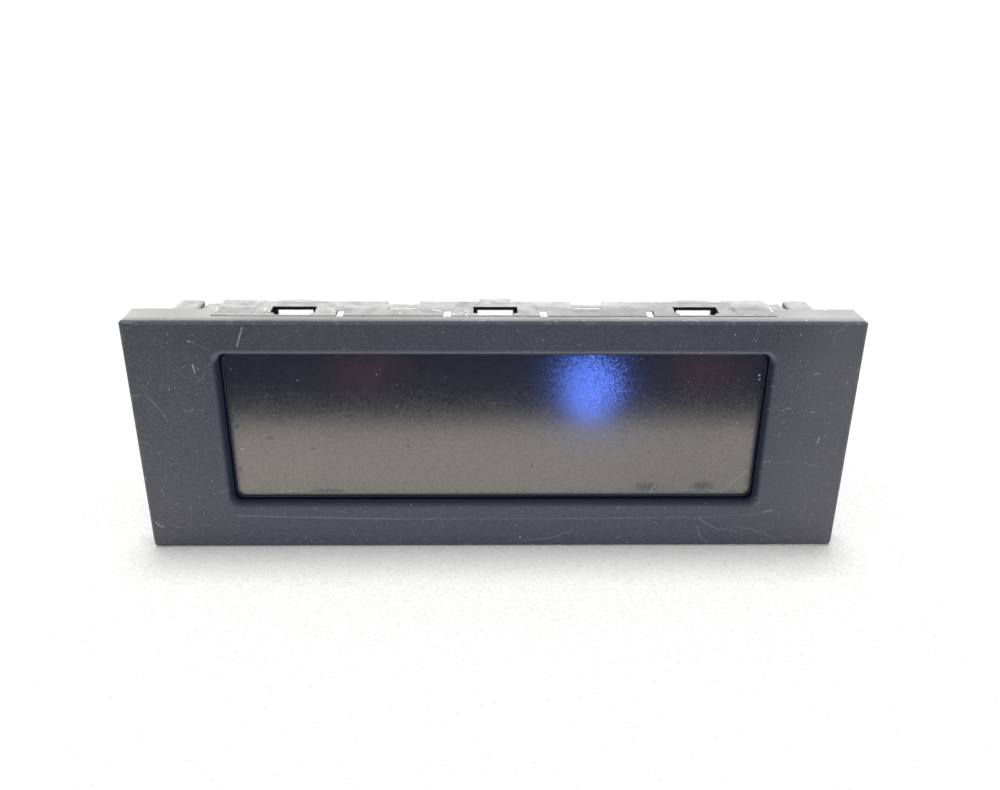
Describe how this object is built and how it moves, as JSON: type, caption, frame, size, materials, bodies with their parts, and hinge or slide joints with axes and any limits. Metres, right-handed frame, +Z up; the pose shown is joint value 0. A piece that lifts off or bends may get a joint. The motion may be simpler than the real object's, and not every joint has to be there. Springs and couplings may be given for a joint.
{
  "type": "car display screen",
  "caption": "Wide dashboard display unit with a recessed screen in a dark bezel, a clip-rimmed housing and a rear cover with a connector socket.",
  "frame": {"origin": "middle of the unit's width and depth, on the plane of its underside", "axes": "+X across the screen to the right as seen from in front, +Y from the face to the connector, +Z up"},
  "size_m": [0.1916, 0.038, 0.0677],
  "materials": {
    "bezel_plastic": "fine-grained satin, dark blue-grey",
    "housing_plastic": "lightly grained, black",
    "cover_plastic": "grained, black",
    "lens_clear": "anti-glare, smoke tinted",
    "gasket_foam": "closed-cell foam",
    "pressed_steel": "tin plated",
    "polariser_film": "smooth film",
    "display_glass": "polished",
    "white_film": "matt white",
    "light_guide_acrylic": "polished, dotted back",
    "board_laminate": "green solder resist",
    "lamp_resin": "clear resin",
    "carrier_plastic": "white moulding",
    "flex_film": "polyimide",
    "socket_plastic": "natural moulding",
    "chip_resin": "moulded resin",
    "ferrite": "fired ferrite",
    "can_metal": "drawn can",
    "chip_ceramic": "fired ceramic",
    "connector_plastic": "moulded",
    "contact_brass": "tin plated brass",
    "screw_steel": "black zinc"
  },
  "bodies": {
    "root": {"front_bezel": "bezel_plastic", "lens_gasket": "gasket_foam", "screen_lens": "lens_clear", "clamp_frame": "pressed_steel", "front_polariser": "polariser_film", "display_front_glass": "display_glass", "display_rear_glass": "display_glass", "rear_polariser": "polariser_film", "diffuser_sheet": "white_film", "light_guide": "light_guide_acrylic", "reflector_sheet": "white_film", "backlight_board": "board_laminate", "backlight_leds": "lamp_resin", "module_carrier": "carrier_plastic", "flex_cable": "flex_film", "flex_socket": "socket_plastic", "mid_housing": "housing_plastic", "main_board": "board_laminate", "microcontroller": "chip_resin", "display_driver": "chip_resin", "memory_chip": "chip_resin", "bus_transceiver": "chip_resin", "voltage_regulator": "chip_resin", "power_inductor": "ferrite", "electrolytic_capacitors": "can_metal", "quartz_crystal": "can_metal", "chip_parts": "chip_ceramic", "connector_shell": "connector_plastic", "connector_pins": "contact_brass", "rear_cover": "cover_plastic", "bezel_screws": "screw_steel", "cover_screws": "screw_steel", "board_screws": "screw_steel"}
  },
  "joints": []
}
